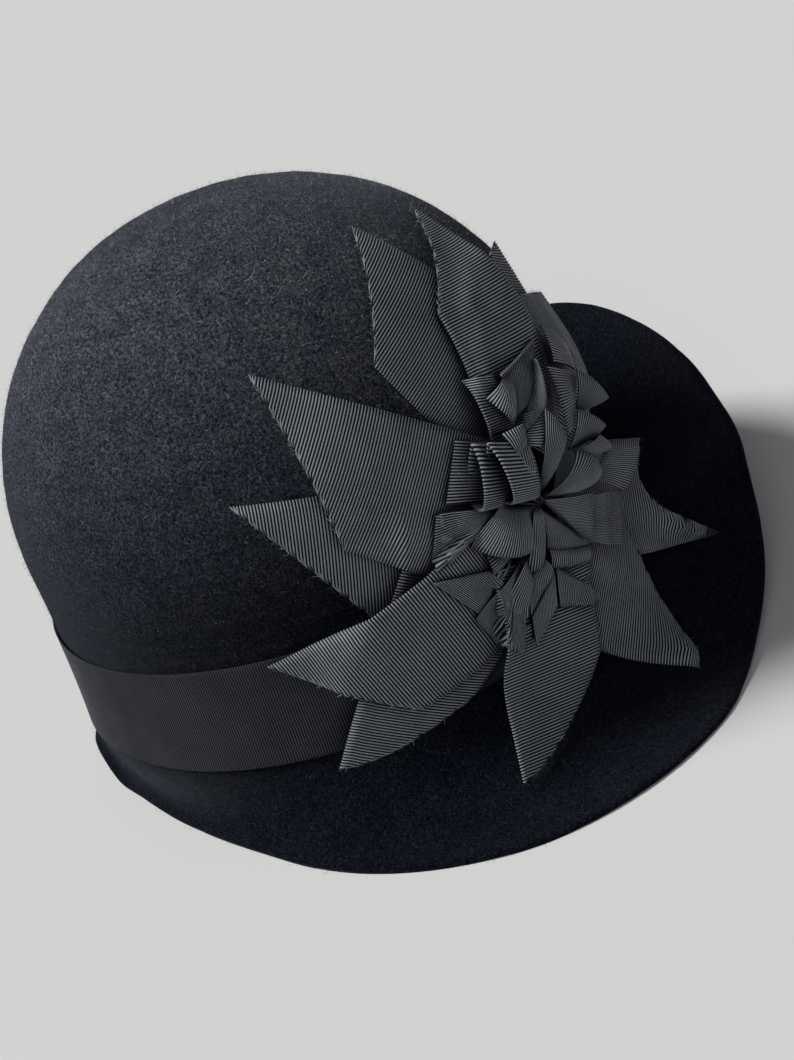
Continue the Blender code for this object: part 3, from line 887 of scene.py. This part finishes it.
def petal(row, trees):
    """A strip of ribbon from under the ruffles outwards, its free end cut on the slant."""
    name, bearing, width, shift, reach, cut, leave, tilt, arch = row
    angle = math.radians(bearing)
    along = np.array([math.cos(angle), math.sin(angle)])
    across = np.array([-math.sin(angle), math.cos(angle)])
    cells_long, cells_wide = PETAL_CELLS
    out = np.linspace(0, 1, cells_long + 1)[:, None]
    sideways = np.linspace(-0.5, 0.5, cells_wide + 1)[None, :]
    bends = np.array(PETAL_BENDS[name]) / MILLIMETRES
    swing, bulge_clockwise, bulge_other, draw, lift, curl, hollow = bends
    length = petal_lengths(reach, cut, 0.5 + sideways, hollow)
    flat = (PETAL_ROOT + length * out - draw * out**3)[..., None] * along
    bulge = bulge_other * (0.5 + sideways) - bulge_clockwise * (0.5 - sideways)
    bulge = bulge * np.sin(math.pi * out) + swing * out**2
    flat = flat + (PETAL_RIBBON_WIDTH * (sideways * width + shift) + bulge)[..., None] * across
    wanted = PETAL_LIFT * arch * np.sin(math.pi * out) + 0 * sideways
    wanted = wanted + lift * out**3 + curl * np.sin(math.pi * out) * (0.5 - sideways) ** 2
    grid = laid(flat, wanted, trees, PETAL_REACH * leave, tilt)

    side = np.linspace(0, 1, PETAL_FINE_COLUMNS)[None, :]
    lengths = petal_lengths(reach, cut, side, hollow)
    steps = math.ceil(lengths.max() / RIB_PITCH * SAMPLES_PER_RIB)
    distance = np.minimum(np.arange(steps + 1)[:, None] * RIB_PITCH / SAMPLES_PER_RIB, lengths)
    phase = distance / RIB_PITCH
    scallop = RIB_SCALLOP / (PETAL_RIBBON_WIDTH * width) * np.sin(math.pi * phase) ** 2
    side = side + scallop * ((side == 1).astype(float) - (side == 0))
    rows, columns = distance / lengths * cells_long, side * cells_wide
    piece = ribbon_sheet(name + "_ribbon", grid, rows, columns, phase, FLOWER_RIBBON)
    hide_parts(name)
    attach(piece, "root")
    return piece, grid


def frayed_threads(grids):
    """Short threads that stand out at random from the cut ends of the petals."""
    rng = np.random.default_rng(THREAD_SEED)
    roots, tips, across = [], [], []
    for grid in grids:
        side = rng.uniform(0, grid.shape[1] - 1, (1, THREAD_COUNT))
        end = np.full_like(side, grid.shape[0] - 1.0)
        edge = surface_at(grid, end, side)[0]
        outward = edge - surface_at(grid, end - THREAD_INWARDS, side)[0]
        outward /= np.linalg.norm(outward, axis=1, keepdims=True)
        outward += rng.normal(scale=THREAD_SCATTER, size=outward.shape)
        turned = np.cross(outward, rng.normal(size=outward.shape))
        roots.append(edge - outward * THREAD_WIDTH * 2)
        share = rng.uniform(*THREAD_SHARES, (THREAD_COUNT, 1)) ** 2
        tips.append(edge + outward * THREAD_LENGTH * share)
        across.append(turned / np.linalg.norm(turned, axis=1, keepdims=True))
    parts = [np.concatenate(part) for part in (roots, tips, across)]
    piece = leaves("petal_threads", *parts, THREAD_WIDTH, THREADS, rng)
    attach(piece, "root")


# Ruffles

# How a fold's selvedge rounds out: the power that fills its arch, the outward share of its bow, the
# power that parts a doubled fold, and how far its root parts. The least share of the ribbon's flat
# area that a gathered sheet may state
ARCH_POWER = 0.8
BOW_OUTWARDS = 0.3
PARTING_POWER = 0.6
ROOT_PARTING = 0.7

FOLDS = (
    # ruffle, then in millimetres: where the outer selvedge starts and ends and where the gathered
    # root starts and ends, each towards the front, upwards and above the crown; then how far the
    # selvedge bows outwards, how far the cloth puffs up, and how far the selvedge doubles back, as
    # a share
    ("ruffle_back", (-16, 31, 3), (-27, 16, 4), (1, 20, 8), (-2, 4, 8), 0, 1, 0.0),
    ("ruffle_back", (-31, 15, 2), (-38, 1, 2), (-16, 7, 5), (-17, 5, 5), 1, 1, 0.0),
    ("ruffle_back", (-30, 15, 4), (-34, 1, 3), (-14, 9, 9), (-14, 7, 9), 1, 2, 0.0),
    ("ruffle_back", (-14, 29, 5), (-20, 11, 13), (0, 20, 10), (-3, 5, 10), 0, 0, 1.0),
    ("ruffle_back", (-12, 28, 9), (-13, 10, 18), (0, 21, 13), (-4, 6, 13), 0, 0, 1.0),
    ("ruffle_low", (-28, -32, 3), (-24, -36, 3), (-20, -22, 4), (-18, -27, 4), 2, 1, 0.0),
    ("ruffle_low", (-32, -20, 3), (-28, -33, 3), (-10, -10, 10), (-22, -23, 6), 1, 1, 0.0),
    ("ruffle_low", (-23, -21, 9), (-18, -29, 9), (-13, -11, 13), (-12, -19, 12), 2, 1, 0.0),
    ("ruffle_low", (-40, -2, 4), (-23, -9, 7), (-31, -19, 3), (-21, -14, 4), 1, 1, 0.0),
    ("ruffle_low", (-21, -3, 6), (-21, -13, 6), (-6, -5, 9), (-6, -7, 9), 5, 0, 0.0),
    ("ruffle_low", (-25, 1, 5), (-6, -8, 8), (-18, 5, 7), (-5, -2, 8), 1, 0, 0.0),
    ("ruffle_low", (-26, 2, 6), (-5, -9, 8), (-14, 10, 12), (-5, 3, 13), 9, 1, 0.0),
    ("ruffle_low_front", (-20, -38, 5), (-7, -33, 9), (-17, -30, 8), (-3, -23, 10), 1, 1, 0.0),
    ("ruffle_low_front", (-6, -34, 9), (10, -45, 9), (-2, -22, 10), (11, -42, 9), 1, 1, 0.0),
    ("ruffle_low_front", (-4, -21, 10), (12, -30, 10), (-3, -14, 11), (13, -25, 10), 1, 1, 0.0),
    ("ruffle_low_front", (-4, -13, 12), (12, -24, 11), (-4, 2, 14), (10, -20, 12), 1, 1, 0.0),
    ("ruffle_low_front", (-17, -29, 8), (-5, -22, 12), (-13, -18, 11), (-6, -16, 12), 1, 1, 0.0),
    ("ruffle_low_front", (-13, -16, 11), (-7, -14, 13), (-7, 3, 15), (-4, 2, 15), 2, 1, 0.0),
    ("ruffle_front", (40, -8, 22), (27, -15, 19), (25, 2, 18), (18, -3, 16), 1, 1, 0.0),
    ("ruffle_front", (28, -15, 18), (26, -35, 14), (-2, 3, 14), (12, -23, 10), 0, 1, 0.0),
    ("ruffle_front", (18, -8, 20), (17, -28, 15), (-2, 3, 15), (12, -22, 11), 0, 1, 0.0),
    ("ruffle_front", (10, -2, 21), (9, -20, 17), (-3, 5, 16), (9, -19, 13), 0, 1, 0.0),
    ("ruffle_front", (26, 28, 17), (34, 14, 19), (21, 19, 15), (23, 17, 15), 1, 1, 0.0),
    ("ruffle_front", (18, 20, 18), (26, 10, 20), (11, 12, 16), (17, 10, 16), 1, 1, 0.0),
    ("ruffle_front", (20, 11, 21), (25, 3, 20), (11, 12, 17), (13, 9, 18), 1, 2, 0.0),
    ("ruffle_front", (11, 12, 19), (17, -2, 19), (-2, 5, 15), (0, 3, 15), 3, 3, 0.0),
    ("ruffle_up", (-4, 44, 3), (-6, 27, 7), (3, 41, 3), (2, 25, 4), 3, 0, 0.0),
    ("ruffle_up", (-3, 37, 8), (0, 27, 11), (3, 39, 11), (5, 37, 12), 2, 1, 0.0),
    ("ruffle_up", (5, 40, 9), (23, 40, 9), (0, 28, 11), (6, 29, 12), 0, 1, 0.0),
    ("ruffle_up", (3, 40, 11), (23, 41, 10), (5, 38, 9), (23, 39, 9), 0, 0, 0.0),
    ("ruffle_up", (30, 42, 10), (22, 33, 14), (39, 30, 10), (35, 24, 11), 1, 1, 0.0),
    ("ruffle_up", (18, 34, 14), (11, 17, 18), (31, 24, 13), (23, 18, 13), 1, 1, 0.0),
    ("ruffle_up", (15, 38, 14), (9, 27, 16), (18, 37, 9), (1, 22, 10), 1, 1, 0.0),
    ("ruffle_up", (10, 27, 15), (3, 18, 15), (5, 27, 10), (0, 20, 10), 1, 1, 0.0),
    ("ruffle_up", (7, 27, 17), (9, 17, 19), (-2, 7, 13), (0, 6, 13), 1, 1, 0.0),
    ("ruffle_up", (-6, 27, 12), (1, 26, 13), (-6, 19, 15), (-4, 19, 15), 1, 1, 0.0),
    ("ruffle_up", (-7, 21, 14), (-1, 21, 15), (-10, 11, 15), (-5, 6, 15), 1, 1, 0.0),
)


def fold_grid(fold, trees):
    """A coarse grid of one fold: its root line first and its outer selvedge last."""
    _, start, end, root_start, root_end, bow, puff, back = fold
    lines = np.array([start, end, root_start, root_end]) / MILLIMETRES
    start, end, root_start, root_end = lines
    along = np.linspace(0, 1, FOLD_CELLS + 1)[:, None]
    turn = (1 - back) * along + back * np.sin(math.pi * along)
    selvedge = start + (end - start) * turn
    selvedge[:, 2:] = start[2] + (end[2] - start[2]) * along
    swing = np.sin(2 * math.pi * along)
    parted = -(end[2] - start[2]) / 2 * np.sign(swing) * np.abs(swing) ** PARTING_POWER
    selvedge[:, 2:] = (1 - back) * selvedge[:, 2:] + back * ((start[2] + end[2]) / 2 + parted)
    outward = selvedge[:, :2] - (root_start + root_end)[:2] / 2
    outward /= np.linalg.norm(outward, axis=1, keepdims=True)
    arch = np.sin(math.pi * along) ** ARCH_POWER * bow / MILLIMETRES
    selvedge[:, :2] += outward * arch * BOW_OUTWARDS
    selvedge[:, 2:] += arch
    root = root_start + (root_end - root_start) * turn
    root[:, 2:] += back * parted * ROOT_PARTING
    out = np.linspace(0, 1, FOLD_CELLS_OUT + 1)[:, None, None]
    grid = root + (selvedge - root) * out
    grid[..., 2:] += np.sin(math.pi * out) * puff / MILLIMETRES
    shape = grid.shape[:2]
    places, normals = walk(grid[..., :2].reshape(-1, 2))
    stack = height_of_stack(places, normals, trees) + GAP
    heights = np.maximum(grid[..., 2].reshape(-1), stack)[:, None]
    return (places + normals * heights).reshape(shape + (3,))


def ruffle(name, trees):
    """Gathered ribbon in open folds, each ruled with ribs from its root to its outer selvedge."""
    points, faces, ribs = [], [], []
    count, run_total, cloth = 0, 0.0, 0.0
    for fold in FOLDS:
        if fold[0] != name:
            continue
        grid = fold_grid(fold, trees)
        edge = grid[-1]
        run = np.concatenate([[0], np.cumsum(np.linalg.norm(np.diff(edge, axis=0), axis=1))])
        root_run = np.linalg.norm(np.diff(grid[0], axis=0), axis=1).sum()
        length = max(run[-1], root_run)
        steps = math.ceil(length / RIB_PITCH * SAMPLES_PER_RIB)
        columns = np.linspace(0, FOLD_CELLS, steps + 1)[None, :]
        rows = np.linspace(0, FOLD_CELLS_OUT, FOLD_FINE_ROWS)[:, None]
        phase = np.linspace(0, length, steps + 1)[None, :] / RIB_PITCH + 0 * rows
        width = np.linalg.norm(grid[-1] - grid[0], axis=-1).mean()
        scallop = RIB_SCALLOP / width * FOLD_CELLS_OUT * np.sin(math.pi * phase) ** 2
        rows = rows + scallop * (rows == FOLD_CELLS_OUT)
        over, under, made, rib = ribbed_layers(grid, rows, columns + 0 * rows, phase)
        points += [over, under]
        faces += [quads + count for quads in made]
        ribs += [rib, rib]
        count += len(over) + len(under)
        run_total += length
        cloth += width * (run[-1] + root_run) / 2
    points, faces = np.concatenate(points), np.concatenate(faces).tolist()
    # The rib heights set the painted shade in grooves and painted light on crests
    values = {"rib": np.concatenate(ribs)}
    piece = mesh_piece(name + "_ribbon", points, faces, FLOWER_RIBBON, values)
    weld(piece)
    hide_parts(name)
    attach(piece, "root")


# The knot's pleats and how deep they are, the waves of its top and how uneven they make it, and how
# wide its tip is
KNOT_PLEATS = 12
KNOT_PLEATING = 0.16
KNOT_WAVES = 3
KNOT_UNEVENNESS = 0.05
KNOT_TIP = 0.0001


def knot(trees):
    """The small lump of gathered and stitched ribbon at the flower's middle."""
    place, normal, front, up = FLOWER
    foot = place + normal * (height_of_stack([place], [normal], trees)[0] + GAP)
    rings, sides = KNOT_RINGS, KNOT_SIDES
    climb = np.linspace(0, math.pi / 2, rings)[:, None]
    turn = 2 * math.pi * np.arange(sides)[None, :] / sides
    pleats = np.cos(KNOT_PLEATS * turn)
    radius = KNOT_WIDTH / 2 * np.cos(climb) * (1 + KNOT_PLEATING * pleats) + KNOT_TIP
    height = KNOT_RISE * np.sin(climb) * (1 + KNOT_UNEVENNESS * np.cos(KNOT_WAVES * turn))
    outward = np.cos(turn)[..., None] * front + np.sin(turn)[..., None] * up
    points = foot + radius[..., None] * outward
    points = points + height[..., None] * normal
    # The pleats' troughs take the painted shade of grooves and their ridges the painted light of
    # crests
    rib = (1 + pleats) / 2 + 0 * climb
    faces = grid_quads(rings, sides, closed=True)[:, ::-1].tolist()
    faces.append(tuple(range((rings - 1) * sides, rings * sides)))
    faces.append(tuple(reversed(range(sides))))
    values = {"rib": rib.ravel()}
    piece = mesh_piece("knot_ribbon", points.reshape(-1, 3), faces, FLOWER_RIBBON, values)
    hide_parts("knot")
    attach(piece, "root")


def flower():
    """Petals laid one over another, and the ruffles and the knot over them."""
    trees = [tree_of(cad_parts[name]) for name in ("felt_body", "hat_band")]
    grids = []
    for row in PETALS:
        piece, grid = petal(row, trees)
        grids.append(grid)
        trees += [tree_of(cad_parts[row[0]]), tree_of(piece)]
    frayed_threads(grids)
    for name in ("ruffle_back", "ruffle_low", "ruffle_low_front", "ruffle_front", "ruffle_up"):
        ruffle(name, trees)
    knot(trees)


# Studio

FLOOR_REACH = 60.0
FLOOR_CORNERS = ((-1, -1), (1, -1), (1, 1), (-1, 1))


def floor():
    """A plain pale floor."""
    looks = bpy.data.materials.new("pale_floor")
    looks.use_nodes = True
    shader = looks.node_tree.nodes["Principled BSDF"]
    shader.inputs["Base Color"].default_value = (*FLOOR_GREY, 1.0)
    shader.inputs["Roughness"].default_value = 0.9
    corners = [(x * FLOOR_REACH, y * FLOOR_REACH, 0) for x, y in FLOOR_CORNERS]
    mesh = bpy.data.meshes.new("floor")
    mesh.from_pydata(corners, [], [(0, 1, 2, 3)])
    mesh.materials.append(looks)
    ground = bpy.data.objects.new("floor", mesh)
    bpy.context.scene.collection.objects.link(ground)


def sun(name, towards, strength, spread, colour):
    """A distant soft light that shines from a direction."""
    data = bpy.data.lights.new(name, "SUN")
    data.energy = strength
    data.angle = math.radians(spread)
    data.color = colour
    lamp = bpy.data.objects.new(name, data)
    lamp.rotation_euler = Vector(towards).to_track_quat("Z", "Y").to_euler()
    bpy.context.scene.collection.objects.link(lamp)


def lights():
    """A key light from behind, a weak fill from the flower's side, and a dim sky."""
    sun("key", (0.12, 0.75, 0.80), strength=5.1, spread=20, colour=(1.0, 0.99, 0.97))
    sun("fill", (-1.0, 0.4, 0.8), strength=0.9, spread=30, colour=(0.93, 0.96, 1.0))
    world = bpy.data.worlds.new("studio")
    world.use_nodes = True
    sky = world.node_tree.nodes["Background"]
    sky.inputs["Color"].default_value = (0.93, 0.95, 1.0, 1.0)
    sky.inputs["Strength"].default_value = 0.12
    bpy.context.scene.world = world


# Camera: where it stands in the hat's own coordinates, how it is turned in degrees, and its focal
# length in pixels of the photo
CAMERA_PLACE = (-0.45644, 0.01507, 0.26369)
CAMERA_AZIMUTH = -95.0
CAMERA_ELEVATION = 28.095
CAMERA_ROLL = -20.083
CAMERA_FOCUS = 1436.654
PHOTO_HEIGHT = 1060
SENSOR = 36.0
NEAREST = 0.01


def camera():
    """The camera at the photo's angle."""
    azimuth, elevation, roll = map(math.radians, (CAMERA_AZIMUTH, CAMERA_ELEVATION, CAMERA_ROLL))
    flat = math.cos(elevation)
    back = Vector((math.sin(azimuth) * flat, -math.cos(azimuth) * flat, math.sin(elevation)))
    level = Vector((math.cos(azimuth), math.sin(azimuth), 0))
    upright = back.cross(level)
    right = level * math.cos(roll) + upright * math.sin(roll)
    up = upright * math.cos(roll) - level * math.sin(roll)
    data = bpy.data.cameras.new("camera")
    data.sensor_width = SENSOR
    data.lens = CAMERA_FOCUS / PHOTO_HEIGHT * SENSOR
    data.clip_start = NEAREST
    eye = bpy.data.objects.new("camera", data)
    turned = Matrix((right, up, back)).transposed().to_4x4()
    eye.matrix_world = Matrix.Translation(Vector(CAMERA_PLACE) + Vector(ORIGIN)) @ turned
    bpy.context.scene.collection.objects.link(eye)
    bpy.context.scene.camera = eye


shell = felt_body()
felt_fibres(shell)
band_loop()
flower()
floor()
lights()
camera()
bpy.context.scene.view_settings.view_transform = "Standard"
